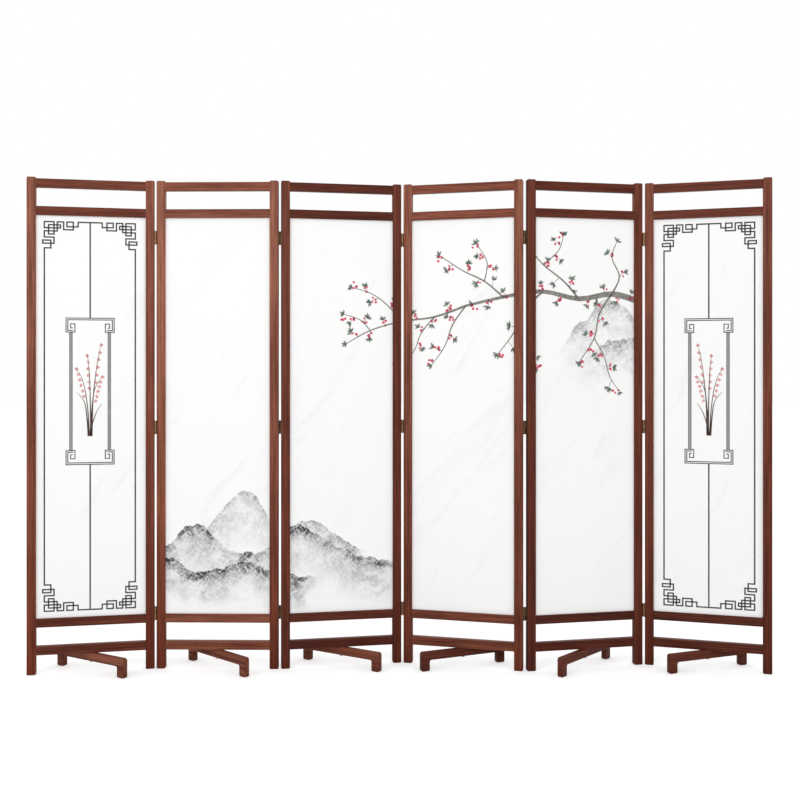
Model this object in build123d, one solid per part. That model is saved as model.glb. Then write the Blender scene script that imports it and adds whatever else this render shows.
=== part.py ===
from build123d import *
import math
import os

# A folding screen, in millimetres: six wooden panels filled with stretched cloth and joined in a
# zigzag by butt hinges, each panel with a bridge-shaped foot that swivels on a bolt under it.
# +Z is up, +X runs along the screen and its front faces -Y. The origin is on the floor, in the
# middle of the space that the open screen takes up.

# How the screen stands, in degrees: each panel's turn from the X axis, from left to right, and how
# far the feet of each half are turned out of line with their panels
panel_turns = (11.2, -1.0, 10.8, -14.7, 11.5, -16.6)
left_foot_turn = -42.0
right_foot_turn = 37.5

# Frame of a panel
panel_width = 450.0
panel_height = 1800.0
stile_width = 32.0
stile_depth = 25.0
rail_height = 32.0
rail_setback = 1.0            # a rail's face lies this far behind the stile's
top_rail_drop = 5.0           # the stile's top end stands this far above the top rail
floor_gap = 70.0              # clear height under the bottom rail
rail_gap = 68.0               # clear height between an outer rail and the inner rail next to it
edge_chamfer = 1.2
end_chamfer = 4.0             # round a stile's two ends

# Rail tenons in their mortises
tenon_length = 18.0
tenon_depth = 8.0
tenon_height = 16.0
tenon_clearance = 0.2         # on each side of a tenon
mortise_slack = 1.0           # past a tenon's end

# Infill: a batten frame with cloth on both sides, held in grooves
groove_depth = 6.0
groove_clearance = 0.15       # on each side of the infill
groove_slack = 0.5            # past the infill's edge
cloth_thickness = 0.6
batten_depth = 6.0
batten_width = 28.0

# Loose-joint butt hinges: a leaf is rolled into a knuckle round the pin, which stands proud of the
# panels' faces. The lower knuckle holds the pin and the other leaf's knuckle turns on it, above.
hinge_heights = (205.0, 890.0, 1590.0)
hinge_length = 50.0
knuckle_radius = 3.0
leaf_thickness = 1.4
leaf_width = 22.0             # from the pin's axis
knuckle_gap = 0.3             # between the two knuckles
knuckle_relief = 0.4          # room round a knuckle in the other leaf's notch
pin_standoff = 3.5            # pin's axis in front of the panel's face
pin_sides = 16                # the pin and its bore are prisms
pin_clearance = 0.05          # between the pin's corners and the bore's flats
pin_end = 0.6                 # pin past the hinge's upper end

# Foot, and the bolt that it swivels on
foot_length = 342.0
foot_width = 21.0
bar_height = 30.0
leg_length = 33.0             # along the foot
shoulder_radius = 9.0
arch_radius = 6.0
toe_chamfer = 3.0
foot_clearance = 0.3          # between the foot's bar and the bottom rail
bolt_radius = 4.0
bolt_clearance = 0.1          # in the foot's bore, on the radius
bolt_depth = 20.0             # in the bottom rail
bolt_head_radius = 7.5        # to the corners of its six sides
bolt_head_height = 4.0

# Worked out from the sizes above
panels = range(len(panel_turns))
opening_width = panel_width - 2 * stile_width
rail_depth = stile_depth - 2 * rail_setback
bottom_rail_z = floor_gap
lower_rail_z = bottom_rail_z + rail_height + rail_gap
top_rail_z = panel_height - top_rail_drop - rail_height
upper_rail_z = top_rail_z - rail_gap - rail_height
infill_low = lower_rail_z + rail_height
infill_high = upper_rail_z
infill_middle = (infill_low + infill_high) / 2
infill_reach = groove_depth - groove_slack
infill_width = opening_width + 2 * infill_reach
infill_height = infill_high - infill_low + 2 * infill_reach
groove_width = batten_depth + 2 * cloth_thickness + 2 * groove_clearance
bore_radius = knuckle_radius - leaf_thickness
pin_radius = bore_radius * math.cos(math.pi / pin_sides) - pin_clearance
pin_along = panel_width / 2 + knuckle_radius
pin_across = stile_depth / 2 + pin_standoff
foot_height = floor_gap - foot_clearance
arch_height = foot_height - bar_height
last_left = len(panel_turns) // 2 - 1


def stile(end):
    """Upright at the left (-1) or right (+1) end of a panel, with its mortises and groove."""
    inner_face = end * opening_width / 2
    body = Box(stile_width, stile_depth, panel_height)
    body = chamfer(body.edges().filter_by(Axis.Z), edge_chamfer)
    for plane, width in ((Plane.XZ, stile_width), (Plane.YZ, stile_depth)):
        outline = Rectangle(width, panel_height)
        outline = chamfer(outline.vertices(), end_chamfer)
        body &= extrude(plane * outline, stile_width, both=True)
    body = Pos(end * (opening_width + stile_width) / 2, 0, panel_height / 2) * body
    mortise_length = tenon_length + mortise_slack
    mortise = Box(mortise_length, tenon_depth + 2 * tenon_clearance, tenon_height + 2 * tenon_clearance)
    for rail_z in (bottom_rail_z, lower_rail_z, upper_rail_z, top_rail_z):
        body -= Pos(inner_face + end * mortise_length / 2, 0, rail_z + rail_height / 2) * mortise
    groove = Box(groove_depth, groove_width, infill_high - infill_low + 2 * groove_depth)
    return body - Pos(inner_face + end * groove_depth / 2, 0, infill_middle) * groove


def rail(rail_z, groove_side=0):
    """Rail with a tenon at each end, grooved along its top (+1) or underside (-1) for the infill."""
    body = Box(opening_width, rail_depth, rail_height)
    body = chamfer(body.edges().filter_by(Axis.X), edge_chamfer)
    body += Box(opening_width + 2 * tenon_length, tenon_depth, tenon_height)
    if groove_side:
        groove = Box(opening_width, groove_width, groove_depth)
        body -= Pos(0, 0, groove_side * (rail_height - groove_depth) / 2) * groove
    return Pos(0, 0, rail_z + rail_height / 2) * body


def bottom_rail():
    """Bottom rail with the blind bore that holds the foot's bolt."""
    bore = Cylinder(bolt_radius, bolt_depth, align=(Align.CENTER, Align.CENTER, Align.MIN))
    return rail(bottom_rail_z) - Pos(0, 0, bottom_rail_z) * bore


def batten_frame():
    """Frame inside the infill, with a crossbar at half height."""
    window_width = infill_width - 2 * batten_width
    window_height = (infill_height - 3 * batten_width) / 2
    frame = Box(infill_width, batten_depth, infill_height)
    for side in (-1, 1):
        window = Box(window_width, batten_depth, window_height)
        frame -= Pos(0, 0, side * (window_height + batten_width) / 2) * window
    return Pos(0, 0, infill_middle) * frame


def cloth(side):
    """Cloth stretched over the front (-1) or back (+1) of the batten frame."""
    offset = side * (batten_depth + cloth_thickness) / 2
    return Pos(0, offset, infill_middle) * Box(infill_width, cloth_thickness, infill_height)


def foot():
    """Bridge-shaped foot along X, with a rounded arch between its legs and a bore for the bolt."""
    arch_width = foot_length - 2 * leg_length
    outline = Pos(0, foot_height / 2) * Rectangle(foot_length, foot_height)
    outline -= Pos(0, arch_height / 2) * Rectangle(arch_width, arch_height)
    corners = outline.vertices().group_by(Axis.Y)
    outline = chamfer(corners[0], toe_chamfer)
    outline = fillet(outline.vertices().group_by(Axis.Y)[-1], shoulder_radius)
    arch_corners = [v for v in outline.vertices() if abs(v.Y - arch_height) < edge_chamfer]
    outline = fillet([v for v in arch_corners if abs(v.X) < foot_length / 2 - toe_chamfer], arch_radius)
    bore = Cylinder(bolt_radius + bolt_clearance, bar_height)
    body = extrude(Plane.XZ * outline, foot_width / 2, both=True)
    return body - Pos(0, 0, foot_height - bar_height / 2) * bore


def foot_bolt():
    """Hexagon-headed bolt from under the foot's bar up into the bottom rail."""
    shank_length = bar_height + foot_clearance + bolt_depth
    shank = Cylinder(bolt_radius, shank_length, align=(Align.CENTER, Align.CENTER, Align.MIN))
    head = extrude(RegularPolygon(bolt_head_radius, 6), -bolt_head_height)
    return Pos(0, 0, arch_height) * (shank + head)


def leaf_profile(end, pin_side):
    """Plate against the stile, rolled round the pin at the origin, as a section without its bore."""
    wall = -end * knuckle_radius
    inside = -end * bore_radius
    away = -pin_side
    meets = away * math.sqrt(knuckle_radius**2 - bore_radius**2)
    plate = Polyline((wall, 0), (wall, away * leaf_width), (inside, away * leaf_width), (inside, meets))
    roll = ThreePointArc((inside, meets), (end * knuckle_radius, 0), (wall, 0))
    return make_face(Curve() + [plate, roll])


def other_knuckle(level):
    """Room for the other leaf's knuckle in the lower (-1) or upper (+1) half of a hinge."""
    width = 2 * (knuckle_radius + knuckle_relief)
    height = (hinge_length + knuckle_gap) / 2
    return Pos(0, 0, level * (hinge_length - height) / 2) * Box(width, width, height)


def pin_leaf(end, pin_side):
    """Leaf with the lower knuckle and the pin fixed in it."""
    body = extrude(leaf_profile(end, pin_side), hinge_length / 2, both=True) - other_knuckle(1)
    pin = extrude(RegularPolygon(pin_radius, pin_sides), hinge_length / 2 + pin_end)
    return body + pin + Pos(0, 0, -knuckle_gap) * pin


def swing_leaf(end, pin_side):
    """Leaf with the upper knuckle, which turns on the other leaf's pin."""
    section = leaf_profile(end, pin_side) - RegularPolygon(bore_radius, pin_sides)
    return extrude(section, hinge_length / 2, both=True) - other_knuckle(-1)


def at_hinges(leaf, end, pin_side):
    """Copies of a hinge leaf at one end of a panel, one at each hinge height."""
    return [Pos(end * pin_along, pin_side * pin_across, z) * leaf for z in hinge_heights]


def pin_side_right_of(panel):
    """Folds alternate: odd ones open to the front (-1), even ones to the back (+1)."""
    return -1 if panel % 2 == 0 else 1


def turned(x, y, degrees):
    """A point of the plan, turned round the origin."""
    angle = math.radians(degrees)
    return (
        x * math.cos(angle) - y * math.sin(angle),
        x * math.sin(angle) + y * math.cos(angle),
    )


def panel_centres():
    """Where each panel's middle stands in plan, with panel after panel hung on the pins."""
    centres = []
    for i in panels:
        if i == 0:
            centres.append((0.0, 0.0))
            continue
        across = pin_side_right_of(i - 1) * pin_across
        out = turned(pin_along, across, panel_turns[i - 1])
        back = turned(-pin_along, across, panel_turns[i])
        x, y = centres[-1]
        centres.append((x + out[0] - back[0], y + out[1] - back[1]))
    return centres


def foot_angle(panel):
    """A foot's own turn. Feet of one half stay parallel, so that their panels can fold together."""
    return left_foot_turn if panel <= last_left else right_foot_turn


def panel_nodes(i):
    """The solids of one panel and what is fixed to it, as node name to solids."""
    name = f"panel_{i + 1}"
    nodes = {
        f"{name}_left_stile": [stile(-1)],
        f"{name}_right_stile": [stile(1)],
        f"{name}_outer_rails": [bottom_rail(), rail(top_rail_z)],
        f"{name}_inner_rails": [rail(lower_rail_z, 1), rail(upper_rail_z, -1)],
        f"{name}_batten_frame": [batten_frame()],
        f"{name}_cloth": [cloth(-1), cloth(1)],
        f"foot_{i + 1}_bolt": [foot_bolt()],
        f"foot_{i + 1}": [Rot(0, 0, foot_angle(i)) * foot()],
    }
    if i + 1 < len(panel_turns):
        side = pin_side_right_of(i)
        nodes[f"hinge_{i + 1}_{i + 2}_pin_leaves"] = at_hinges(pin_leaf(1, side), 1, side)
    if i > 0:
        side = pin_side_right_of(i - 1)
        nodes[f"hinge_{i}_{i + 1}_swing_leaves"] = at_hinges(swing_leaf(-1, side), -1, side)
    return nodes


centres = panel_centres()
standing = {}
for i in panels:
    place = Location((*centres[i], 0), (0, 0, panel_turns[i]))
    for name, solids in panel_nodes(i).items():
        standing[name] = Compound(children=[place * solid for solid in solids])

# The screen is moved so that the origin is on the floor under the middle of its bounding box
boxes = [node.bounding_box() for node in standing.values()]
low_x, high_x = min(b.min.X for b in boxes), max(b.max.X for b in boxes)
low_y, high_y = min(b.min.Y for b in boxes), max(b.max.Y for b in boxes)
middle_x, middle_y = (low_x + high_x) / 2, (low_y + high_y) / 2
os.makedirs("parts", exist_ok=True)
for name, node in standing.items():
    export_step(Pos(-middle_x, -middle_y, 0) * node, f"parts/{name}.step")

for i in panels:
    x, y = centres[i][0] - middle_x, centres[i][1] - middle_y
    print(f"panel {i + 1} middle {x:.4f} {y:.4f} turn {panel_turns[i]} foot {foot_angle(i)}")
    if i + 1 < len(panel_turns):
        along, across = turned(pin_along, pin_side_right_of(i) * pin_across, panel_turns[i])
        print(f"pin {i + 1} {i + 2} at {x + along:.4f} {y + across:.4f}")
print(f"box {high_x - low_x:.3f} {high_y - low_y:.3f}")
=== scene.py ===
import math
import random

import bpy
from mathutils import Matrix, Vector


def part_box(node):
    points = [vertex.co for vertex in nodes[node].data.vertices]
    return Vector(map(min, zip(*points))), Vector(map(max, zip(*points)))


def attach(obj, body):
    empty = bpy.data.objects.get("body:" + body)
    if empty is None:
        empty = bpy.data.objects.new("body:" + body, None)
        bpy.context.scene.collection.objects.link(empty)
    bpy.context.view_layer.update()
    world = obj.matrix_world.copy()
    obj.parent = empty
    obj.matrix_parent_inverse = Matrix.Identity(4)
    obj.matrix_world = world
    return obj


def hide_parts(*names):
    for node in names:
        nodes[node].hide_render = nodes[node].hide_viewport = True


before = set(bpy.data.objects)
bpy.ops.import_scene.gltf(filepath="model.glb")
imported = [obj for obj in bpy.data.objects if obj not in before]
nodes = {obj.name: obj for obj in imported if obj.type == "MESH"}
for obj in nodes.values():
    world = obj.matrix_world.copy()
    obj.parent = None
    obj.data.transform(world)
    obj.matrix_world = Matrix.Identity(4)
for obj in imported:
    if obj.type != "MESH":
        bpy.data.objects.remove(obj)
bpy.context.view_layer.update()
bpy.context.scene.view_settings.view_transform = "Standard"
print("frame loaded:", len(nodes), "nodes")


# Where each panel stands, read from the frame


def planPoints(node):
    return sorted({(round(v.co.x, 5), round(v.co.y, 5)) for v in nodes[node].data.vertices})


def planTurn(node):  # the turn of a long straight node about Z
    points = planPoints(node)
    midX = sum(x for x, y in points) / len(points)
    midY = sum(y for x, y in points) / len(points)
    alongX = sum((x - midX) ** 2 for x, y in points)
    alongY = sum((y - midY) ** 2 for x, y in points)
    across = sum((x - midX) * (y - midY) for x, y in points)
    return 0.5 * math.atan2(2 * across, alongX - alongY)


panels = []
for number in range(1, 7):
    battens = f"panel_{number}_batten_frame"
    low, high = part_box(battens)
    turn = planTurn(battens)
    middle = Matrix.Translation(((low.x + high.x) / 2, (low.y + high.y) / 2, 0))
    panels.append({"number": number, "body": f"panel_{number}", "turn": turn,
                   "place": middle @ Matrix.Rotation(turn, 4, "Z")})


def boxIn(place, node):  # a node's box in a turned frame
    points = [place.inverted() @ v.co for v in nodes[node].data.vertices]
    low = Vector(min(p[k] for p in points) for k in range(3))
    high = Vector(max(p[k] for p in points) for k in range(3))
    return low, high


clothLow, clothHigh = boxIn(panels[0]["place"], "panel_1_cloth")
stileLow, stileHigh = boxIn(panels[0]["place"], "panel_1_right_stile")
field = {
    "width": clothHigh.x - clothLow.x,
    "height": clothHigh.z - clothLow.z,
    "bottom": clothLow.z,
    "faces": {-1: clothLow.y, 1: clothHigh.y},    # front and back
    "halfOpening": stileLow.x,   # half the width that shows between the stiles
}


# Small helpers for modelling


def only(ob):  # makes ob the one selected and active object
    bpy.ops.object.select_all(action="DESELECT")
    ob.select_set(True)
    bpy.context.view_layer.objects.active = ob
    return ob


def settle(ob, place=None):  # puts the object's place into its mesh
    if place is not None:
        ob.matrix_world = place @ ob.matrix_world
    only(ob)
    bpy.ops.object.transform_apply(location=True, rotation=True, scale=True)
    return ob


def pick(ob, test, kind="EDGE"):  # selects, in edit mode, what passes the test
    bpy.ops.object.mode_set(mode="EDIT")
    bpy.ops.mesh.select_mode(type=kind)
    bpy.ops.mesh.select_all(action="DESELECT")
    bpy.ops.object.mode_set(mode="OBJECT")
    mesh = ob.data
    for item in mesh.edges if kind == "EDGE" else mesh.polygons:
        item.select = test(mesh, item)
    bpy.ops.object.mode_set(mode="EDIT")


def applyAll(ob):
    only(ob)
    for modifier in list(ob.modifiers):
        bpy.ops.object.modifier_apply(modifier=modifier.name)


def joined(pieces, name):
    bpy.ops.object.select_all(action="DESELECT")
    for piece in pieces:
        piece.select_set(True)
    bpy.context.view_layer.objects.active = pieces[0]
    if len(pieces) > 1:
        bpy.ops.object.join()
    pieces[0].name = pieces[0].data.name = name
    return pieces[0]


def copied(ob, place):
    twin = ob.copy()
    twin.data = ob.data.copy()
    bpy.context.collection.objects.link(twin)
    return settle(twin, place)


def smooth(ob, degrees=40):
    only(ob)
    bpy.ops.object.shade_smooth_by_angle(angle=math.radians(degrees))


# Small helpers for materials


def newMaterial(name):
    material = bpy.data.materials.new(name)
    material.use_nodes = True
    return material, material.node_tree, material.node_tree.nodes["Principled BSDF"]


def put(tree, kind, inputs=None, **settings):
    made = tree.nodes.new("ShaderNode" + kind)
    for key, value in settings.items():
        setattr(made, key, value)
    for key, value in (inputs or {}).items():
        if isinstance(value, bpy.types.NodeSocket):
            tree.links.new(value, made.inputs[key])
        else:
            made.inputs[key].default_value = value
    return made


def maths(tree, operation, a, b=0.0, c=0.0):
    return put(tree, "Math", {0: a, 1: b, 2: c}, operation=operation).outputs[0]


def remap(tree, value, fromLow, fromHigh, toLow=0.0, toHigh=1.0, smoothly=False):
    kind = "SMOOTHSTEP" if smoothly else "LINEAR"
    return put(tree, "MapRange", {"Value": value, "From Min": fromLow, "From Max": fromHigh,
                                  "To Min": toLow, "To Max": toHigh}, interpolation_type=kind).outputs[0]


def mixColour(tree, share, a, b, how="MIX"):
    made = put(tree, "Mix", {0: share, 6: a, 7: b}, data_type="RGBA", blend_type=how)
    return made.outputs[2]


def noise(tree, vector, scale, detail=2.0, roughness=0.5, distortion=0.0):
    return put(tree, "TexNoise", {"Vector": vector, "Scale": scale, "Detail": detail,
                                  "Roughness": roughness, "Distortion": distortion}).outputs[0]


def mapped(tree, vector, location=(0, 0, 0), rotation=(0, 0, 0), scale=(1, 1, 1)):
    return put(tree, "Mapping", {"Vector": vector, "Location": location, "Rotation": rotation,
                                 "Scale": scale}).outputs[0]


def bump(tree, height, strength, distance):
    return put(tree, "Bump", {"Height": height, "Strength": strength, "Distance": distance}).outputs[0]


# Wood: stained reddish brown under satin lacquer, straight-grained

wood = {
    "light": (0.312, 0.106, 0.060, 1),
    "middle": (0.172, 0.048, 0.0265, 1),
    "dark": (0.064, 0.0145, 0.008, 1),
    "heartAway": 0.09,           # the log's heart lies this far outside the piece
    "alongGrain": 0.03,          # how much the pattern is drawn out along the grain
    "rings": {"Scale": 62.0, "Distortion": 6.0, "Detail": 2.5, "Detail Scale": 0.35, "Detail Roughness": 0.55},
    "waviness": (11.0, 3.0),     # scale, detail and roughness of each noise
    "fibres": (420.0, 4.0, 0.65),
    "streaks": (115.0, 3.0, 0.6),
    "pores": (1500.0, 2.0, 0.6),
    "patches": (4.5, 2.0),
    "weights": (0.22, 0.55, 0.75, 0.45),          # of rings, fibres, streaks and waviness
    "contrast": (0.68, 1.28),    # weighted sums that give the darkest and the lightest colour
    "roughness": (0.39, 0.60),
    "shine": 0.13,
    "height": 1.8,
    # painted light and shade by height: the colour is made lighter and paler towards the top, as a painted sheen,
    # and darker and redder towards the floor, as painted shade, by these shares of red, green and blue
    "paintedSheenAndShade": {"X": (0.15, 0.17, 0.18), "Z": (0.28, 0.46, 0.53)},
    "powers": (1, 1.5, 1.65),    # of the tone, because darker boards are redder
}


def woodMaterial(name, turn, grain, tone, seed, paintedShadingShare=1.0):  # grain is the axis it runs along, X or Z
    material, tree, shader = newMaterial(name)
    where = put(tree, "TexCoord").outputs["Object"]
    drawn = {"X": (wood["alongGrain"], 1, 1), "Z": (1, 1, wood["alongGrain"])}[grain]
    away = {"X": (seed * 0.31, wood["heartAway"], seed * 0.013),
            "Z": (wood["heartAway"], seed * 0.011, seed * 0.37)}[grain]
    turned = mapped(tree, where, rotation=(0, 0, -turn))
    log = mapped(tree, turned, location=away, scale=drawn)
    rings = put(tree, "TexWave", {"Vector": log, **wood["rings"]},
                wave_type="RINGS", rings_direction=grain).outputs[1]
    waviness = noise(tree, log, *wood["waviness"])
    fibres = noise(tree, log, *wood["fibres"])
    streaks = noise(tree, mapped(tree, log, location=(0.3, 0.9, 2.0)), *wood["streaks"])
    pores = noise(tree, mapped(tree, log, location=(3.1, 1.7, 0.4)), *wood["pores"])
    pores = remap(tree, pores, 0.60, 0.72)
    patches = noise(tree, mapped(tree, turned, location=(0.7, seed, 0.2)), *wood["patches"])

    shade = maths(tree, "MULTIPLY", rings, wood["weights"][0])
    for part, weight in zip((fibres, streaks, waviness), wood["weights"][1:]):
        shade = maths(tree, "MULTIPLY_ADD", part, weight, shade)
    ramp = put(tree, "ValToRGB", {"Fac": remap(tree, shade, *wood["contrast"])})
    stops = ramp.color_ramp.elements
    stops[0].position = 0.05
    stops[0].color = wood["dark"]
    stops[1].position = 0.95
    stops[1].color = wood["light"]
    stops.new(0.5).color = wood["middle"]
    colour = mixColour(tree, maths(tree, "MULTIPLY", pores, 0.5), ramp.outputs[0], wood["dark"])

    # painted light and shade: the colour is made lighter and paler towards the top, as a painted sheen, and darker
    # and redder towards the floor, as painted shade; patchy is a random tone of the wood
    height = put(tree, "SeparateXYZ", {0: where}).outputs[2]
    patchy = remap(tree, patches, 0.3, 0.7, 0.9, 1.1)
    shares = []
    for power, paintedSheenAndShade in zip(wood["powers"], wood["paintedSheenAndShade"][grain]):
        share = remap(tree, height, 0.0, wood["height"],
                      tone**power * (1 - paintedShadingShare * paintedSheenAndShade), tone**power * (1 + paintedShadingShare * paintedSheenAndShade))
        shares.append(maths(tree, "MULTIPLY", share, patchy))
    tint = put(tree, "CombineColor", dict(enumerate(shares))).outputs[0]
    tree.links.new(mixColour(tree, 1.0, colour, tint, "MULTIPLY"), shader.inputs["Base Color"])

    rough = remap(tree, maths(tree, "MULTIPLY_ADD", pores, 0.6, fibres), 0.3, 1.2, *wood["roughness"])
    tree.links.new(rough, shader.inputs["Roughness"])
    shader.inputs["Specular IOR Level"].default_value = wood["shine"]
    relief = maths(tree, "MULTIPLY_ADD", pores, -0.7, maths(tree, "MULTIPLY", fibres, 0.5))
    tree.links.new(bump(tree, relief, 0.35, 0.0004), shader.inputs["Normal"])
    return material


# Metal: worn antique brass for the hinges, zinc-plated steel for the bolts

metals = {                      # bright and worn colour, roughness
    "antiqueBrass": ((0.36, 0.25, 0.15, 1), (0.12, 0.07, 0.04, 1), 0.38),
    "zincSteel": ((0.56, 0.57, 0.58, 1), (0.36, 0.36, 0.37, 1), 0.3),
    "screwBrass": ((0.40, 0.29, 0.17, 1), (0.17, 0.105, 0.06, 1), 0.32),
}


def metalMaterial(name):
    material, tree, shader = newMaterial(name)
    bright, dull, roughness = metals[name]
    where = put(tree, "TexCoord").outputs["Object"]
    clouds = noise(tree, where, 160.0, 5.0, 0.6)
    scratches = noise(tree, mapped(tree, where, scale=(1, 1, 0.06)), 2600.0, 2.0)
    worn = remap(tree, clouds, 0.4, 0.68)
    tree.links.new(mixColour(tree, worn, bright, dull), shader.inputs["Base Color"])
    rough = remap(tree, clouds, 0.3, 0.7, roughness - 0.08, roughness + 0.14)
    tree.links.new(rough, shader.inputs["Roughness"])
    tree.links.new(bump(tree, scratches, 0.15, 0.0001), shader.inputs["Normal"])
    shader.inputs["Metallic"].default_value = 1.0
    return material


brass, steel, screwBrass = (metalMaterial(name) for name in metals)
softwood = woodMaterial("softwood", 0.0, "Z", 3.2, 4.0)

# Frames: the tones are those of left stile, right stile, outer rails, inner rails and foot, partly the wood's own
# and partly painted shade: darker on panels 3 and 5, which turn away from the key light, and on panel 6, which
# stands far from it. The last value is how strongly the stiles get the painted sheen at the top and painted shade
# at the floor
tones = {
    1: (1.04, 0.80, 0.76, 0.64, 1.00, 1.35),
    2: (1.12, 1.12, 1.02, 1.12, 0.98, 1.35),
    3: (0.74, 0.54, 0.46, 0.50, 0.92, 0.6),
    4: (1.12, 0.98, 0.88, 0.84, 0.56, 1.05),
    5: (0.54, 0.60, 0.43, 0.47, 0.64, 0.6),
    6: (0.76, 0.70, 0.58, 0.60, 0.58, 1.2),
}
stile = {"end": 0.0048, "round": 0.0018}   # radius of its ends' corners, and of its other edges


def stileMesh(low, high):
    bpy.ops.mesh.primitive_cube_add(size=1, location=(low + high) / 2, scale=high - low)
    ob = settle(bpy.context.object)

    def acrossFrame(mesh, edge):  # the edges that run from front to back
        a, b = (mesh.vertices[k].co for k in edge.vertices)
        return abs(a.y - b.y) > 0.01

    pick(ob, acrossFrame)
    bpy.ops.mesh.bevel(offset=stile["end"], segments=4, affect="EDGES")
    bpy.ops.object.mode_set(mode="OBJECT")
    rounding = ob.modifiers.new("rounding", "BEVEL")
    rounding.width = stile["round"]
    rounding.segments = 2
    rounding.limit_method = "ANGLE"
    rounding.angle_limit = math.radians(50)
    applyAll(ob)
    return ob


for panel in panels:
    number = panel["number"]
    turn = panel["turn"]
    tone = tones[number]
    for k, side in enumerate(("left", "right")):
        node = f"panel_{number}_{side}_stile"
        piece = settle(stileMesh(*boxIn(panel["place"], node)), panel["place"])
        piece.name = f"stile_{number}_{side}"
        smooth(piece)
        material = woodMaterial(f"stile{side.title()}{number}", turn, "Z", tone[k], number * 2.0 + k * 1.3, tone[5])
        piece.data.materials.append(material)
        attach(piece, panel["body"])
        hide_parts(node)
    dress = {
        "outer_rails": woodMaterial(f"outerRails{number}", turn, "X", tone[2], number * 1.7),
        "inner_rails": woodMaterial(f"innerRails{number}", turn, "X", tone[3], number * 1.9 + 5.0),
        "batten_frame": softwood,
    }
    for piece, material in dress.items():
        nodes[f"panel_{number}_{piece}"].data.materials.clear()
        nodes[f"panel_{number}_{piece}"].data.materials.append(material)
for name, node in nodes.items():
    if name.startswith("hinge_") or name.endswith("_bolt"):
        node.data.materials.clear()
        node.data.materials.append(brass if name.startswith("hinge_") else steel)
print("frames, hinges and bolts dressed")


# Feet: bridge-shaped, with every edge rounded over

foot = {
    "leg": 0.033,                # a leg's length along the foot
    "bar": 0.030,                # the bar's height
    "shoulder": 0.009,           # radius of the bar's ends
    "arch": 0.006,               # radius between leg and bar
    "toe": 0.0065,               # radius of a leg's lower end
    "round": 0.0036,             # radius of all other edges
    "bore": 0.0041,
}


def footMesh(length, width, height):
    bpy.ops.mesh.primitive_cube_add(size=1, location=(0, 0, height - foot["bar"] / 2),
                                    scale=(length, width, foot["bar"]))
    ob = settle(bpy.context.object)
    inner = length / 2 - foot["leg"]
    bpy.ops.object.mode_set(mode="EDIT")
    for side in (-1, 1):
        bpy.ops.mesh.select_all(action="SELECT")
        bpy.ops.mesh.bisect(plane_co=(side * inner, 0, 0), plane_no=(1, 0, 0))
    bpy.ops.object.mode_set(mode="OBJECT")
    barUnder = height - foot["bar"]
    pick(ob, lambda mesh, f: f.normal.z < -0.9 and abs(f.center.x) > inner, "FACE")
    bpy.ops.mesh.extrude_region_move(TRANSFORM_OT_translate={"value": (0, 0, -barUnder)})
    bpy.ops.object.mode_set(mode="OBJECT")

    def edgeAt(x, z):
        def test(mesh, edge):
            a, b = (mesh.vertices[k].co for k in edge.vertices)
            there = all(abs(abs(p.x) - x) < 1e-5 and abs(p.z - z) < 1e-5 for p in (a, b))
            return there and abs(a.y - b.y) > 1e-4
        return test

    bends = ((length / 2, height, "shoulder", 6), (inner, barUnder, "arch", 5),
             (length / 2, 0, "toe", 5), (inner, 0, "toe", 5))
    for x, z, radius, segments in bends:
        pick(ob, edgeAt(x, z))
        bpy.ops.mesh.bevel(offset=foot[radius], segments=segments, affect="EDGES")
        bpy.ops.object.mode_set(mode="OBJECT")
    rounding = ob.modifiers.new("rounding", "BEVEL")
    rounding.width = foot["round"]
    rounding.segments = 3
    rounding.limit_method = "ANGLE"
    rounding.angle_limit = math.radians(50)
    bpy.ops.mesh.primitive_cylinder_add(vertices=28, radius=foot["bore"], depth=0.1, location=(0, 0, height))
    drill = settle(bpy.context.object)
    cut = ob.modifiers.new("cut", "BOOLEAN")
    cut.operation = "DIFFERENCE"
    cut.object = drill
    applyAll(ob)
    bpy.data.objects.remove(drill)
    return ob


for panel in panels:
    number = panel["number"]
    name = f"foot_{number}"
    low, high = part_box(name)
    angle = planTurn(name)
    middle = Matrix.Translation(((low.x + high.x) / 2, (low.y + high.y) / 2, 0))
    place = middle @ Matrix.Rotation(angle, 4, "Z")
    footLow, footHigh = boxIn(place, name)
    piece = footMesh(*(footHigh - footLow))
    settle(piece, place)
    piece.name = f"foot_{number}_rounded"
    smooth(piece)
    material = woodMaterial(f"footWood{number}", angle, "X", tones[number][4], number * 2.3)
    piece.data.materials.append(material)
    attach(piece, f"foot_{number}_body")
    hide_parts(name)
print("feet modelled")


# Screws: three countersunk screws in each hinge leaf

screw = {
    "radius": 0.0026,
    "depth": 0.0009,
    "edge": 0.0002,
    "proud": 0.00025,
    "slot": 0.0006,              # width and depth of the cross cut into the head
    "leaf": 0.0014,              # from the stile to the leaf's face
    "pinIn": 0.003,              # from the leaves' outer edge to the pin's axis
    "acrossLeaf": (0.0095, 0.0165, 0.0095),    # from the pin's axis
    "upLeaf": (-0.0175, 0.0, 0.0175),
    "heights": (0.205, 0.890, 1.590),
}


def screwHead():
    bpy.ops.mesh.primitive_cylinder_add(vertices=20, radius=screw["radius"], depth=screw["depth"])
    head = settle(bpy.context.object)
    pick(head, lambda mesh, f: f.normal.z > 0.9, "FACE")
    bpy.ops.mesh.bevel(offset=screw["edge"], segments=2, affect="EDGES")
    bpy.ops.object.mode_set(mode="OBJECT")
    for turned in (0, math.pi / 2):
        bpy.ops.mesh.primitive_cube_add(size=1, location=(0, 0, screw["depth"] / 2), rotation=(0, 0, turned),
                                        scale=(screw["radius"] * 1.25, screw["slot"], screw["slot"]))
        cutter = settle(bpy.context.object)
        cut = head.modifiers.new("cut", "BOOLEAN")
        cut.operation = "DIFFERENCE"
        cut.object = cutter
        applyAll(head)
        bpy.data.objects.remove(cutter)
    head.data.materials.append(screwBrass)
    return head


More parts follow.
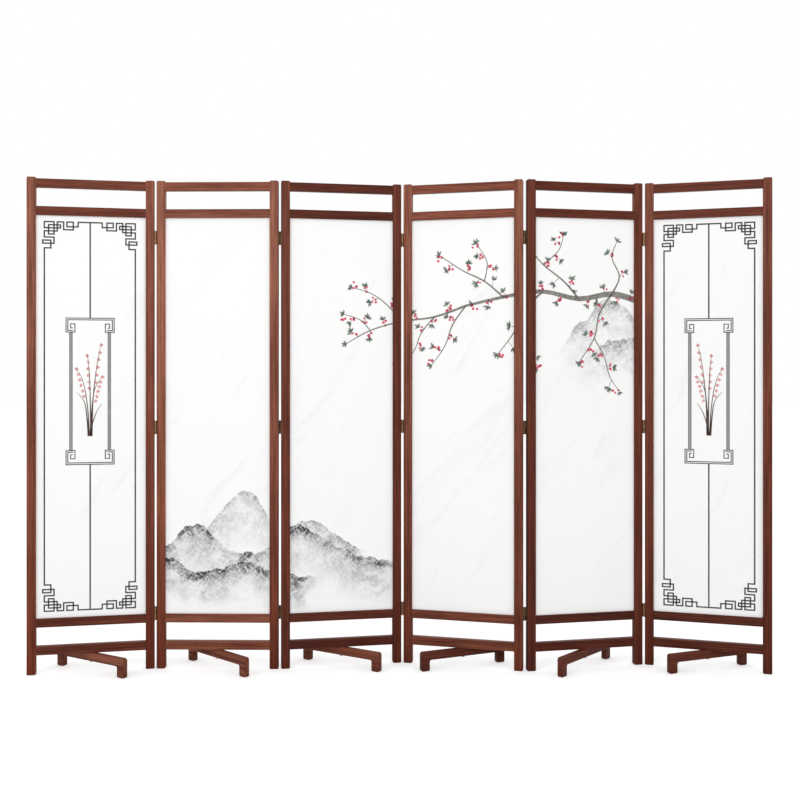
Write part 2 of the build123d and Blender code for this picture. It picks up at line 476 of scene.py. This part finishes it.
head = screwHead()
for fold in range(1, 6):
    inFront = fold % 2 == 1      # odd folds have their pins in front
    for leaf, number, end in (("pin", fold, 1), ("swing", fold + 1, -1)):
        panel = panels[number - 1]
        leafLow, leafHigh = boxIn(panel["place"], f"hinge_{fold}_{fold + 1}_{leaf}_leaves")
        pinY = leafLow.y + screw["pinIn"] if inFront else leafHigh.y - screw["pinIn"]
        away = 1 if inFront else -1
        headX = end * (stileHigh.x + screw["leaf"] + screw["proud"] - screw["depth"] / 2)
        heads = []
        for level in screw["heights"]:
            for across, up in zip(screw["acrossLeaf"], screw["upLeaf"]):
                spot = Matrix.Translation((headX, pinY + away * across, level + up))
                facing = Matrix.Rotation(end * math.pi / 2, 4, "Y")
                driven = Matrix.Rotation(0.4 * len(heads), 4, "Z")
                heads.append(copied(head, panel["place"] @ spot @ (facing @ driven)))
        piece = joined(heads, f"hinge_{fold}_{fold + 1}_{leaf}_screws")
        smooth(piece, 35)
        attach(piece, panel["body"])
bpy.data.objects.remove(head)
print("hinge screws set")


# Cloth: white linen-like weave, stretched flat on both sides, with faint smoky streaks

weave = {
    "pitch": 0.0011,             # from one thread to the next
    "white": (0.945, 0.945, 0.94, 1),
    "smoke": (0.76, 0.765, 0.77, 1),
    "ink": (0.050, 0.052, 0.056, 1),
    "thickness": 0.0005,
    "ripple": 0.00018,
}
panelStep = 0.456                # from one panel's middle to the next with the screen laid flat

# Painted hills, back to front, in metres along the flat screen and up. "rise" is how far an outline of 1 is
# above the foot, "deep" how far the ink reaches below the outline, and "fade" the outline where it is full
farHills = [
    {"from": 0.26, "to": 1.02, "rise": 0.24, "foot": 0.42, "dark": 0.7, "seed": 3.0, "deep": 0.19,
     "fade": 0.12,
     "outline": ((0, 0.0), (0.1, 0.1), (0.22, 0.46), (0.33, 0.86), (0.4, 0.98), (0.48, 0.7), (0.58, 0.42),
                 (0.7, 0.52), (0.8, 0.35), (0.92, 0.1), (1, 0.0))},
    {"from": 0.22, "to": 1.16, "rise": 0.17, "foot": 0.37, "dark": 1.0, "seed": 7.4, "deep": 0.16,
     "fade": 0.12,
     "outline": ((0, 0.25), (0.08, 0.62), (0.16, 0.95), (0.24, 0.66), (0.36, 0.34), (0.46, 0.5),
                 (0.56, 0.92), (0.62, 0.8), (0.72, 0.44), (0.84, 0.2), (1, 0.0))},
    {"from": 0.22, "to": 0.86, "rise": 0.10, "foot": 0.33, "dark": 1.15, "seed": 12.8, "deep": 0.11,
     "fade": 0.12,
     "outline": ((0, 0.9), (0.12, 0.75), (0.26, 0.3), (0.4, 0.42), (0.52, 0.66), (0.66, 0.3), (0.82, 0.12),
                 (1, 0.0))},
]
nearCrag = [                     # the mass of rock behind the spray's thick end
    {"from": 1.68, "to": 2.12, "rise": 0.22, "foot": 1.15, "dark": 0.72, "seed": 17.3, "deep": 0.17,
     "fade": 0.75,
     "outline": ((0, 0.0), (0.12, 0.15), (0.26, 0.55), (0.36, 0.68), (0.5, 0.97), (0.66, 0.9), (0.8, 0.62),
                 (1, 0.5))},
    {"from": 1.72, "to": 2.12, "rise": 0.12, "foot": 1.11, "dark": 0.9, "seed": 23.9, "deep": 0.12,
     "fade": 0.8,
     "outline": ((0, 0.0), (0.15, 0.12), (0.3, 0.4), (0.5, 0.82), (0.75, 0.95), (1, 0.9))},
]
painted = {2: farHills, 3: farHills, 5: nearCrag}


def hillInk(tree, along, up, hill):  # how dark its ink is, and where it covers what is behind it
    share = remap(tree, along, hill["from"], hill["to"])
    curve = put(tree, "FloatCurve", {"Value": share})
    points = curve.mapping.curves[0].points
    points[0].location = hill["outline"][0]
    points[1].location = hill["outline"][1]
    for x, y in hill["outline"][2:]:
        points.new(x, y)
    curve.mapping.update()
    outline = curve.outputs[0]

    spot = put(tree, "CombineXYZ", {0: along, 1: hill["seed"], 2: 0.0}).outputs[0]
    crags = maths(tree, "MULTIPLY_ADD", noise(tree, spot, 26.0, 6.0, 0.62), 0.05, -0.025)
    top = maths(tree, "MULTIPLY_ADD", outline, hill["rise"], crags)
    top = maths(tree, "ADD", top, hill["foot"])
    below = maths(tree, "SUBTRACT", top, up)

    plane = put(tree, "CombineXYZ", {0: along, 1: up, 2: hill["seed"]}).outputs[0]
    strokes = []
    for lean, scale in ((0.75, 120.0), (-0.75, 130.0)):  # two sets of brush strokes that cross
        brushed = mapped(tree, mapped(tree, plane, rotation=(0, 0, lean)), scale=(1, 0.3, 1))
        strokes.append(noise(tree, brushed, scale, 6.0, 0.7, 0.8))
    lines = remap(tree, maths(tree, "MINIMUM", *strokes), 0.36, 0.52)
    washes = noise(tree, plane, 13.0, 4.0, 0.6, 0.8)

    inside = remap(tree, below, -0.001, 0.003, smoothly=True)
    inside = maths(tree, "MULTIPLY", inside, remap(tree, outline, 0.0, hill["fade"], smoothly=True))
    mist = remap(tree, maths(tree, "MULTIPLY_ADD", washes, -0.09, below), 0.0, hill["deep"], 1.0, 0.0, True)
    rim = remap(tree, below, 0.0, 0.06, 1.0, 0.42, True)
    tint = maths(tree, "MULTIPLY", maths(tree, "MULTIPLY_ADD", lines, 0.78, 0.22), rim)
    tint = maths(tree, "MULTIPLY", tint, remap(tree, washes, 0.34, 0.62, 0.35, 1.3))
    ink = maths(tree, "MULTIPLY", maths(tree, "MULTIPLY", tint, mist), hill["dark"])
    return maths(tree, "MULTIPLY", ink, inside), maths(tree, "MULTIPLY", inside, mist)


def clothMaterial(name, number, hills):
    material, tree, shader = newMaterial(name)
    uv = put(tree, "TexCoord").outputs["UV"]
    corner = ((number - 1) * panelStep - field["width"] / 2, field["bottom"], 0)
    metres = mapped(tree, uv, location=corner, scale=(field["width"], field["height"], 1))
    parts = put(tree, "SeparateXYZ", {0: metres})
    along, up = parts.outputs[0], parts.outputs[1]
    turns = 2 * math.pi / weave["pitch"]
    warp = maths(tree, "SINE", maths(tree, "MULTIPLY", along, turns))
    weft = maths(tree, "SINE", maths(tree, "MULTIPLY", up, turns))
    cells = maths(tree, "MULTIPLY", warp, weft)
    slubs = maths(tree, "ADD", noise(tree, mapped(tree, metres, scale=(900, 9, 1)), 1.0, 2.0),
                  noise(tree, mapped(tree, metres, scale=(9, 900, 1)), 1.0, 2.0))
    threads = maths(tree, "MULTIPLY_ADD", slubs, 0.9, cells)
    slanted = mapped(tree, mapped(tree, metres, rotation=(0, 0, -0.95)), scale=(1, 4.2, 1))
    smoke = remap(tree, noise(tree, slanted, 2.2, 6.0, 0.6, 1.3), 0.54, 0.80, 0.0, 0.40, True)
    colour = mixColour(tree, smoke, weave["white"], weave["smoke"])
    grey = remap(tree, threads, -0.5, 2.0, 0.965, 1.0)
    greys = put(tree, "CombineColor", {0: grey, 1: grey, 2: grey}).outputs[0]
    colour = mixColour(tree, 1.0, colour, greys, "MULTIPLY")
    for hill in hills:  # each hill hides what is behind it, and then adds its own ink
        ink, cover = hillInk(tree, along, up, hill)
        colour = mixColour(tree, maths(tree, "MULTIPLY", cover, 0.8), colour, weave["white"])
        colour = mixColour(tree, ink, colour, weave["ink"])
    tree.links.new(colour, shader.inputs["Base Color"])
    tree.links.new(bump(tree, threads, 0.25, 0.0002), shader.inputs["Normal"])
    shader.inputs["Roughness"].default_value = 0.92
    shader.inputs["Specular IOR Level"].default_value = 0.15
    shader.inputs["Sheen Weight"].default_value = 0.06
    return material


def stretchedCloth(panel, side):  # side -1 is the front, 1 the back
    turned = (math.pi / 2, 0, 0 if side < 0 else math.pi)
    middle = (0, field["faces"][side], field["bottom"] + field["height"] / 2)
    bpy.ops.mesh.primitive_grid_add(x_subdivisions=14, y_subdivisions=48, size=1, calc_uvs=True,
                                    location=middle, rotation=turned)
    ob = bpy.context.object
    ob.scale = (field["width"], field["height"], 1)
    settle(ob)
    for v in ob.data.vertices:  # the pull of the battens leaves the middle very slightly uneven
        x = v.co.x / field["width"] + 0.5
        z = (v.co.z - field["bottom"]) / field["height"]
        calm = math.sin(math.pi * x) * math.sin(math.pi * z)
        waves = 1 + math.sin(9 * x + panel["number"]) * math.cos(17 * z)
        v.co.y -= side * weave["ripple"] * calm * waves
    thick = ob.modifiers.new("thick", "SOLIDIFY")
    thick.thickness = weave["thickness"]
    thick.offset = -1
    applyAll(ob)
    return settle(ob, panel["place"])


prints = {}                      # the printed pieces on each panel's front cloth
for panel in panels:
    number = panel["number"]
    for side, word in ((-1, "front"), (1, "back")):
        sheet = stretchedCloth(panel, side)
        sheet.name = f"cloth_{number}_{word}"
        hills = painted.get(number, ()) if side < 0 else ()
        sheet.data.materials.append(clothMaterial(f"cloth{number}{word.title()}", number, hills))
        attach(sheet, panel["body"])
        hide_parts(f"panel_{number}_cloth")
print("cloth stretched")


# Print: flat ink shapes on the front cloth, drawn in a plane with X along and Y up, and then laid on the cloth

printing = {
    "film": 0.00008,             # half the ink's thickness
    "over": 0.00012,             # the ink's middle above the cloth
    "line": 0.0052,
}


def inkMaterial(name, colour, other, scale=40.0):
    material, tree, shader = newMaterial(name)
    where = put(tree, "TexCoord").outputs["Object"]
    cloudy = remap(tree, noise(tree, where, scale, 4.0, 0.6), 0.32, 0.68)
    fine = remap(tree, noise(tree, where, 900.0, 2.0), 0.3, 0.7, 0.9, 1.06)
    colour = mixColour(tree, cloudy, colour, other)
    tint = put(tree, "CombineColor", {0: fine, 1: fine, 2: fine}).outputs[0]
    tree.links.new(mixColour(tree, 1.0, colour, tint, "MULTIPLY"), shader.inputs["Base Color"])
    shader.inputs["Roughness"].default_value = 0.85
    shader.inputs["Specular IOR Level"].default_value = 0.2
    return material


inks = {
    "line": inkMaterial("lineInk", (0.05, 0.05, 0.053, 1), (0.08, 0.08, 0.084, 1)),
    "bar": inkMaterial("barInk", (0.27, 0.27, 0.275, 1), (0.33, 0.33, 0.335, 1)),
    "stem": inkMaterial("stemInk", (0.17, 0.16, 0.145, 1), (0.30, 0.285, 0.26, 1), 60.0),
    "leaf": inkMaterial("leafInk", (0.095, 0.14, 0.112, 1), (0.26, 0.32, 0.27, 1), 55.0),
    "berry": inkMaterial("berryInk", (0.64, 0.055, 0.105, 1), (0.76, 0.19, 0.25, 1), 90.0),
    "twig": inkMaterial("twigInk", (0.045, 0.028, 0.022, 1), (0.12, 0.075, 0.06, 1), 60.0),
    "petal": inkMaterial("petalInk", (0.66, 0.20, 0.20, 1), (0.78, 0.42, 0.40, 1), 120.0),
}


def ribbon(points, widths, ink, closed=False):  # a flat strip along the points, with mitred corners
    count = len(points)
    ring = points + points[:2] if closed else points
    edges = []
    for k in range(count + 1 if closed else count):
        here = Vector(ring[k])
        before = Vector(ring[k - 1] if k else points[-1 if closed else 0])
        after = Vector(ring[k + 1] if k + 1 < len(ring) else ring[k])
        came, goes = (here - before).normalized(), (after - here).normalized()
        came = came if came.length else goes
        goes = goes if goes.length else came
        across = (came + goes).normalized().orthogonal()
        across *= 1 / max(0.35, across.dot(goes.orthogonal()))
        share = k / (count - 1) if count > 1 else 0
        half = (widths[0] + (widths[1] - widths[0]) * min(share, 1)) / 2
        edges.append((here - across * half, here + across * half))
    bpy.ops.mesh.primitive_grid_add(x_subdivisions=len(edges) - 1, y_subdivisions=1, size=1)
    ob = bpy.context.object
    for v, (x, y) in zip(ob.data.vertices, [e[0] for e in edges] + [e[1] for e in edges]):
        v.co = (x, y, -printing["film"])
    return thickened(ob, ink)


def smoothRun(points, steps=4):  # more points, on a smooth curve through those given
    ends = [points[0], *points, points[-1]]
    run = []
    for k in range(len(points) - 1):
        a, b, c, d = (Vector(p) for p in ends[k:k + 4])
        for step in range(steps):
            t = step / steps
            spot = 0.5 * (2 * b + (c - a) * t + (2 * a - 5 * b + 4 * c - d) * t**2
                          + (3 * b - a - 3 * c + d) * t**3)
            run.append(tuple(spot))
    return run + [points[-1]]


def brushLine(points, widths, ink):
    return ribbon(smoothRun(points), widths, ink)


def flatLine(points, width, closed=False, ink="line"):
    return ribbon(list(points), (width, width), ink, closed)


def thickened(ob, ink):  # gives a flat shape the thickness of the ink
    only(ob)
    bpy.ops.object.mode_set(mode="EDIT")
    bpy.ops.mesh.select_all(action="SELECT")
    bpy.ops.mesh.remove_doubles(threshold=1e-6)
    bpy.ops.mesh.extrude_region_move(TRANSFORM_OT_translate={"value": (0, 0, 2 * printing["film"])})
    bpy.ops.mesh.select_all(action="SELECT")
    bpy.ops.mesh.normals_make_consistent(inside=False)
    bpy.ops.object.mode_set(mode="OBJECT")
    ob.data.materials.append(inks[ink])
    return ob


def inkShape(outline, ink):  # a filled flat shape
    bpy.ops.mesh.primitive_circle_add(vertices=len(outline), radius=1, fill_type="NGON")
    ob = bpy.context.object
    for v, (x, y) in zip(ob.data.vertices, outline):
        v.co = (x, y, -printing["film"])
    return thickened(ob, ink)


def leafOutline(length, width, points=5):  # a slender leaf along +X, from its stalk
    shares = [k / points for k in range(1, points)]
    upper = [(length * t, width / 2 * math.sin(math.pi * t**0.8) ** 0.9) for t in shares]
    lower = [(x, -y) for x, y in reversed(upper)]
    return [(length, 0)] + list(reversed(upper)) + [(0, 0)] + list(reversed(lower))


def dotOutline(radius, count=10):
    angles = [2 * math.pi * k / count for k in range(count)]
    return [(radius * math.cos(angle), radius * math.sin(angle)) for angle in angles]


def stamped(master, x, y, degrees=0.0, size=1.0):
    twin = master.copy()
    twin.data = master.data.copy()
    bpy.context.collection.objects.link(twin)
    twin.matrix_world = (Matrix.Translation((x, y, 0)) @ Matrix.Rotation(math.radians(degrees), 4, "Z")
                         @ Matrix.Diagonal((size, size, 1, 1)))
    return twin


def printOn(panel, ob, shift=0.0):  # lays a drawn piece on the panel's front cloth
    lift = Matrix.Translation((shift, field["faces"][-1] - printing["over"], 0))
    stood = Matrix.Rotation(math.pi / 2, 4, "X")
    settle(ob, panel["place"] @ (lift @ stood))
    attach(ob, panel["body"])
    prints.setdefault(panel["number"], []).append(ob)


border = {
    "halfWidth": 0.160,
    "bottom": 0.227,
    "top": 1.640,
    "cell": 0.0112,              # the fret's grid
    "aside": 0.0045,             # the print sits this far outwards of the middle
    # the fret's run from the top line to the side line, in cells in and down from the corner
    "fret": ((10.5, 0), (10.5, 1.5), (7, 1.5), (7, 0), (9, 0), (9, 2.5), (6, 2.5), (6, 0), (4, 0), (4, 3),
             (0, 3), (0, 5), (3, 5), (3, 7), (-0.5, 7), (-0.5, 6), (2, 6), (2, 8.5), (0, 8.5)),
    "knot": ((0, 0), (3, 0), (3, 4), (1.3, 4), (1.3, 1), (5, 1), (5, 2), (0, 2)),
}
cartouche = {
    "halfWidth": 0.0845,
    "top": 1.291,
    "bottom": 0.757,
    "cap": 0.051,
    "bar": 0.0675,
    "barWidth": 0.0085,
    "barEdge": 0.0008,           # half the width of the fine lines along the bars
    "line": 0.0034,
    "gap": 0.0062,               # from the outer to the inner line
    # the scroll's turns, in from the side and in from the end
    "scroll": ((0.031, 0.051), (0.031, 0.021), (0.016, 0.021), (0.016, 0.036), (0.0235, 0.036)),
}
grass = {
    "base": 0.86,
    # place, height, lean and width of each blade, and whether it has blossoms
    "blades": ((-0.006, 0.16, -0.040, 0.0062, False), (0.002, 0.30, -0.012, 0.0052, True),
               (0.006, 0.34, 0.034, 0.0048, True), (0.0, 0.22, 0.045, 0.0050, True),
               (-0.003, 0.25, -0.046, 0.0044, True), (0.004, 0.12, 0.038, 0.0050, False)),
    "tip": 0.0008,
    "blossoms": (0.58, 0.66, 0.74, 0.82, 0.9, 0.98),    # shares of a blade's height
    "petal": 0.0032,
    "petalOut": 0.0038,
}


def fretBorder():
    middleZ = (border["top"] + border["bottom"]) / 2
    halfHeight = (border["top"] - border["bottom"]) / 2

    def cornerRun(cells, left, up):
        return [(left * (border["halfWidth"] - border["cell"] * across),
                 middleZ + up * (halfHeight - border["cell"] * down)) for across, down in cells]

    pieces = []
    loop = []
    corners = ((-1, 1, False), (-1, -1, True), (1, -1, False), (1, 1, True))
    for left, up, backwards in corners:  # round the field anticlockwise from the upper left
        run = cornerRun(border["fret"], left, up)
        loop += reversed(run) if backwards else run
        pieces.append(flatLine(cornerRun(border["knot"], left, up), printing["line"], True))
    pieces.append(flatLine(loop, printing["line"], True))
    return pieces


def scrollCap(up):  # the double line over or under the cartouche, curling inwards at both ends
    end = cartouche["top"] if up > 0 else cartouche["bottom"]
    wide = cartouche["halfWidth"]
    deep = cartouche["cap"]
    gap = cartouche["gap"]
    curl = [(0, end), (wide, end), (wide, end - up * deep)]
    curl += [(wide - across, end - up * down) for across, down in cartouche["scroll"]]
    inner = [(0, end - up * gap), (wide - gap, end - up * gap), (wide - gap, end - up * (deep - gap)),
             (wide - cartouche["scroll"][0][0] + gap, end - up * (deep - gap))]
    pieces = []
    for run in (curl, inner):
        both = [(-x, y) for x, y in reversed(run[1:])] + run[1:]
        pieces.append(flatLine(both, cartouche["line"]))
    return pieces


def upright(x, half, low, high, ink):  # a straight upright bar of ink
    return inkShape([(x - half, low), (x + half, low), (x + half, high), (x - half, high)], ink)


def cartoucheFrame():
    pieces = scrollCap(1) + scrollCap(-1)
    low = cartouche["bottom"] + cartouche["cap"]
    high = cartouche["top"] - cartouche["cap"]
    half = cartouche["barWidth"] / 2
    for side in (-1, 1):
        middle = side * cartouche["bar"]
        pieces.append(upright(middle, half, low, high, "bar"))
        for edge in (-1, 1):
            x = middle + edge * (half + cartouche["barEdge"])
            pieces.append(upright(x, cartouche["barEdge"], low, high, "line"))
    return pieces


def centreLine():
    spans = ((cartouche["top"], border["top"]), (border["bottom"], cartouche["bottom"]))
    return [upright(0, printing["line"] / 2, low, high, "line") for low, high in spans]


def grassTuft(mirror):  # a wild grass with small blossoms, for the cartouche
    random.seed(21)
    pieces = []
    base = grass["base"]
    blossom = inkShape(dotOutline(grass["petal"], 8), "petal")
    for k, (x, tall, lean, width, blooms) in enumerate(grass["blades"]):
        bent = 0.35 + 0.1 * (k % 3)
        points = [(mirror * x, base), (mirror * (x + lean * 0.12), base + tall * 0.4),
                  (mirror * (x + lean * bent), base + tall * 0.78), (mirror * (x + lean), base + tall)]
        pieces.append(brushLine(points, (width, grass["tip"]), "twig"))
        for step in grass["blossoms"] if blooms else ():
            spotX = mirror * (x + lean * step**1.6)
            spotY = base + tall * step
            for petal in range(4):
                around = math.radians(90 * petal + random.uniform(-20, 20))
                size = random.uniform(0.7, 1.1)
                pieces.append(stamped(blossom, spotX + grass["petalOut"] * math.cos(around),
                                      spotY + grass["petalOut"] * math.sin(around), 0, size))
    bpy.data.objects.remove(blossom)
    return pieces


for number, mirror in ((1, -1), (6, 1)):
    panel = panels[number - 1]
    shift = mirror * border["aside"]
    printOn(panel, joined(fretBorder(), f"print_{number}_fret_border"), shift)
    printOn(panel, joined(cartoucheFrame() + centreLine(), f"print_{number}_cartouche"), shift)
    printOn(panel, joined(grassTuft(-mirror), f"print_{number}_grass"), shift)
print("borders printed")


# Spray: drooping stems with slender leaves and red berries, in from the right across three panels.
# Points are along the flat screen and up, in metres

spray = {
    "stems": (                   # points, width at start and end
        (((2.03, 1.36), (1.93, 1.385), (1.80, 1.365), (1.66, 1.39), (1.52, 1.37), (1.38, 1.34)),
         (0.024, 0.009)),
        (((1.38, 1.34), (1.26, 1.30), (1.14, 1.285), (1.02, 1.25), (0.93, 1.20)), (0.009, 0.003)),
        (((1.80, 1.365), (1.74, 1.43), (1.66, 1.49), (1.60, 1.56)), (0.008, 0.003)),
        (((1.66, 1.39), (1.60, 1.33), (1.56, 1.24), (1.50, 1.16)), (0.008, 0.003)),
        (((1.52, 1.37), (1.45, 1.43), (1.37, 1.47), (1.28, 1.53)), (0.007, 0.003)),
        (((1.38, 1.34), (1.33, 1.27), (1.30, 1.19), (1.25, 1.12)), (0.006, 0.0026)),
        (((1.14, 1.285), (1.08, 1.35), (1.02, 1.39), (0.95, 1.41)), (0.0055, 0.0024)),
        (((1.93, 1.385), (1.88, 1.31), (1.86, 1.22), (1.80, 1.13)), (0.008, 0.003)),
        (((1.86, 1.22), (1.90, 1.15), (1.92, 1.08), (1.96, 1.02)), (0.005, 0.0024)),
        (((1.56, 1.24), (1.61, 1.18), (1.63, 1.11)), (0.005, 0.0024)),
        (((1.26, 1.30), (1.21, 1.24), (1.18, 1.17), (1.12, 1.12)), (0.005, 0.0024)),
        (((1.02, 1.25), (0.98, 1.29), (0.92, 1.31)), (0.0042, 0.0024)),
        (((1.93, 1.385), (1.96, 1.45), (1.93, 1.52), (1.95, 1.58)), (0.007, 0.0026)),
        (((1.45, 1.43), (1.46, 1.50), (1.42, 1.57)), (0.0045, 0.0024)),
        (((1.66, 1.49), (1.72, 1.54), (1.74, 1.60)), (0.0045, 0.0024)),
    ),
    "leaf": (0.0185, 0.0062),
    "berry": 0.0048,
    "every": 0.062,              # from one twig to the next along a stem
    "twig": (0.0024, 0.0016),    # its width at start and end
    "fan": 34,                   # degrees between a twig's leaves
}


def along(points, share):  # a point on the run of points, and its direction
    place = share * (len(points) - 1)
    k = min(int(place), len(points) - 2)
    (x0, y0), (x1, y1) = points[k], points[k + 1]
    t = place - k
    return x0 + (x1 - x0) * t, y0 + (y1 - y0) * t, math.degrees(math.atan2(y1 - y0, x1 - x0))


def drawSpray():
    random.seed(8)
    pieces = []
    leaf = inkShape(leafOutline(*spray["leaf"]), "leaf")
    berry = inkShape(dotOutline(spray["berry"]), "berry")
    for k, (points, widths) in enumerate(spray["stems"]):
        pieces.append(brushLine(points, widths, "stem"))
        run = sum(math.dist(a, b) for a, b in zip(points, points[1:]))
        count = max(3, round(run / spray["every"]))
        for step in range(count):
            share = (step + 1) / count if k >= 1 else (step + 0.6) / count
            x, y, heading = along(points, share)
            side = 1 if step % 2 else -1
            reach = 0 if share > 0.95 else random.uniform(0.018, 0.034)
            lean = math.radians(heading + side * random.uniform(55, 85))
            tipX = x + reach * math.cos(lean)
            tipY = y + reach * math.sin(lean)
            facing = heading
            if reach:
                facing = math.degrees(lean)
                bend = ((x + tipX) / 2, (y + tipY) / 2 + 0.002)
                pieces.append(brushLine(((x, y), bend, (tipX, tipY)), spray["twig"], "stem"))
            for blade in range(random.choice((4, 5))):
                spread = facing + (blade - 2) * spray["fan"] + random.uniform(-9, 9)
                pieces.append(stamped(leaf, tipX, tipY, spread, random.uniform(0.75, 1.2)))
            if random.random() < 0.92:
                for dot in range(random.choice((3, 3, 4, 5))):
                    around = random.uniform(0, 2 * math.pi)
                    off = random.uniform(0.005, 0.012)
                    back = random.uniform(0.010, 0.016)
                    size = random.uniform(0.85, 1.15)
                    pieces.append(stamped(berry, tipX - back * math.cos(lean) + off * math.cos(around),
                                          tipY - back * math.sin(lean) + off * math.sin(around), 0, size))
    bpy.data.objects.remove(leaf)
    bpy.data.objects.remove(berry)
    return joined(pieces, "spray")


def clipped(ob, low, high):  # keeps what lies between two places along X
    only(ob)
    bpy.ops.object.mode_set(mode="EDIT")
    for edge, way in ((low, -1), (high, 1)):
        bpy.ops.mesh.select_all(action="SELECT")
        bpy.ops.mesh.bisect(plane_co=(edge, 0, 0), plane_no=(way, 0, 0), use_fill=True, clear_outer=True)
    bpy.ops.object.mode_set(mode="OBJECT")


wholeSpray = settle(drawSpray())
for number in (3, 4, 5):
    middle = (number - 1) * panelStep
    part = copied(wholeSpray, Matrix.Identity(4))
    clipped(part, middle - field["halfOpening"], middle + field["halfOpening"])
    part.name = f"print_{number}_spray"
    printOn(panels[number - 1], part, -middle)
bpy.data.objects.remove(wholeSpray)

print("print laid on the cloth")


# Camera, floor and light

camera = {
    "place": (-0.001, -3.847, 1.102),
    "focal": 1039.2 / 800,       # of the picture's width
    "shiftY": -0.0376,
}
eye = bpy.data.objects.new("camera", bpy.data.cameras.new("camera"))
bpy.context.collection.objects.link(eye)
eye.location = camera["place"]
eye.rotation_euler = (math.pi / 2, 0, 0)
eye.data.lens = camera["focal"] * eye.data.sensor_width
eye.data.shift_y = camera["shiftY"]
bpy.context.scene.camera = eye

studio = {
    "worldLight": 0.95,
    "floorSize": 60,
    "floorColour": (0.82, 0.82, 0.82, 1),
    "floorLift": 0.36,           # makes the floor meet the white backdrop, for the camera only
    "softboxes": {               # place, aimed at, size and watts
        "key": ((-2.4, -3.9, 2.9), (0.1, 0, 1.1), (1.8, 1.3), 24),
        "overhead": ((0.3, -4.4, 3.3), (0, 0, 1.4), (3.2, 0.8), 26),
    },
}

for name, (place, target, size, watts) in studio["softboxes"].items():
    lamp = bpy.data.lights.new(name, "AREA")
    lamp.shape = "RECTANGLE"
    lamp.size = size[0]
    lamp.size_y = size[1]
    lamp.energy = watts
    softbox = bpy.data.objects.new(name, lamp)
    bpy.context.collection.objects.link(softbox)
    softbox.location = place
    softbox.rotation_euler = (Vector(target) - Vector(place)).to_track_quat("-Z", "Y").to_euler()

world = bpy.data.worlds.new("studio")
bpy.context.scene.world = world
world.use_nodes = True
tree = world.node_tree
paths = put(tree, "LightPath")
looking = maths(tree, "MAXIMUM", paths.outputs["Is Camera Ray"], paths.outputs["Is Glossy Ray"])
looking = maths(tree, "MAXIMUM", looking, paths.outputs["Is Transmission Ray"])
backdrop = tree.nodes["Background"]
backdrop.inputs["Color"].default_value = (1, 1, 1, 1)
tree.links.new(remap(tree, looking, 0.0, 1.0, studio["worldLight"], 1.0), backdrop.inputs["Strength"])

bpy.ops.mesh.primitive_plane_add(size=studio["floorSize"], location=(0, 0, 0))
floor = bpy.context.object
floor.name = "floor"
material, tree, shader = newMaterial("floor")
shader.inputs["Base Color"].default_value = studio["floorColour"]
shader.inputs["Roughness"].default_value = 0.9
shader.inputs["Specular IOR Level"].default_value = 0.0
paths = put(tree, "LightPath")
shader.inputs["Emission Color"].default_value = (1, 1, 1, 1)
tree.links.new(maths(tree, "MULTIPLY", paths.outputs["Is Camera Ray"], studio["floorLift"]),
               shader.inputs["Emission Strength"])
floor.data.materials.append(material)
print("studio lit")
